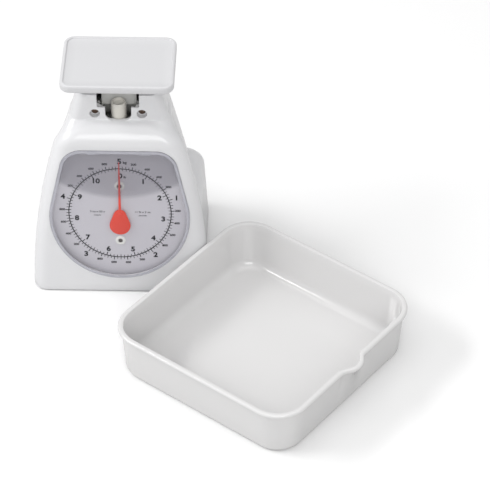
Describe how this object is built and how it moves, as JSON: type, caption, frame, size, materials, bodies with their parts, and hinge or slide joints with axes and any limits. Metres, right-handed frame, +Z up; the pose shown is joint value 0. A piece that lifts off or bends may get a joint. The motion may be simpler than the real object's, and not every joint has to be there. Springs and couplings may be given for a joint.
{
  "type": "kitchen scale",
  "caption": "Mechanical kitchen scale with a leaning round dial, red pointer, flat weighing platform and zero knob, with a square weighing bowl with a pouring spout beside it.",
  "frame": {"origin": "centre of the housing's foot, on the surface that the rubber feet stand on", "axes": "+X to the right of someone reading the dial, +Y towards the back, +Z up"},
  "size_m": [0.3396, 0.3404, 0.2154],
  "materials": {
    "housing_white": "smooth semi-gloss white moulding",
    "platform_white": "smooth semi-gloss white moulding",
    "bowl_white": "glossy white moulding",
    "base_white": "satin white moulding",
    "lens_clear": "clear moulded plastic, polished",
    "dial_card": "satin pale lavender card with printed scales",
    "screw_white": "white enamelled screw head",
    "pointer_red": "satin red",
    "plated_steel": "zinc plated sheet",
    "spring_steel": "bright drawn wire",
    "brass": "machined",
    "rubber": "matte grey",
    "knob_ivory": "slightly translucent ivory"
  },
  "bodies": {
    "stand": {"housing": "housing_white", "base_plate": "base_white", "feet": "rubber", "base_screws": "plated_steel", "housing_screws": "plated_steel", "lens": "lens_clear", "dial_plate": "dial_card", "dial_screws": "screw_white", "dial_carrier": "plated_steel", "pinion_bridge": "plated_steel", "frame": "plated_steel", "frame_screws": "plated_steel", "frame_pins": "plated_steel", "spring_left": "spring_steel", "spring_right": "spring_steel"},
    "carriage": {"platform": "platform_white", "platform_screws": "plated_steel", "load_bracket": "plated_steel", "rack_arm": "plated_steel", "rack": "brass", "rack_pin": "plated_steel", "carriage_pins": "plated_steel"},
    "pointer_group": {"pinion_shaft": "plated_steel", "pinion": "brass", "pointer": "pointer_red"},
    "upper_guide": {"upper_lever": "plated_steel"},
    "lower_guide": {"lower_lever": "plated_steel"},
    "knob": {"zero_knob": "knob_ivory", "zero_screw": "plated_steel"},
    "hanger": {"spring_hanger": "brass"},
    "bowl_body": {"bowl": "bowl_white"}
  },
  "joints": [
    {"name": "load", "type": "slide", "parent": "stand", "child": "carriage", "axis": [0, 0, -1], "range_m": [0, 0.0104], "stiffness_N_per_m": 4905, "springref_m": -0.0009, "deforming": ["spring_left", "spring_right"]},
    {"name": "pointer_turn", "type": "hinge", "parent": "stand", "child": "pointer_group", "pos_m": [0, -0.05221, 0.0794], "axis": [0, 0.9863, -0.165], "range_deg": [0, 375]},
    {"name": "upper_guide_turn", "type": "hinge", "parent": "stand", "child": "upper_guide", "pos_m": [0, 0.02846, 0.14426], "axis": [1, 0, 0], "range_deg": [0, 21.1]},
    {"name": "lower_guide_turn", "type": "hinge", "parent": "stand", "child": "lower_guide", "pos_m": [0, 0.02846, 0.073], "axis": [1, 0, 0], "range_deg": [0, 21.1]},
    {"name": "zero_turn", "type": "hinge", "parent": "stand", "child": "knob", "pos_m": [0, -0.01595, 0.16566], "axis": [0, 0, 1], "range_deg": [-540, 540]},
    {"name": "hanger_slide", "type": "slide", "parent": "stand", "child": "hanger", "axis": [0, 0, 1], "range_m": [-0.00105, 0.00105], "deforming": ["spring_left", "spring_right"]},
    {"name": "bowl_lift", "type": "slide", "parent": "stand", "child": "bowl_body", "axis": [0, 0, 1], "range_m": [0, 0.22]}
  ],
  "couplings": [
    {"joint": "pointer_turn", "follows": "load", "rad_per_m": 628.32},
    {"joint": "upper_guide_turn", "follows": "load", "rad_per_m": 35.285},
    {"joint": "lower_guide_turn", "follows": "load", "rad_per_m": 35.285},
    {"joint": "zero_turn", "follows": "hanger_slide", "rad_per_m": 8976}
  ]
}
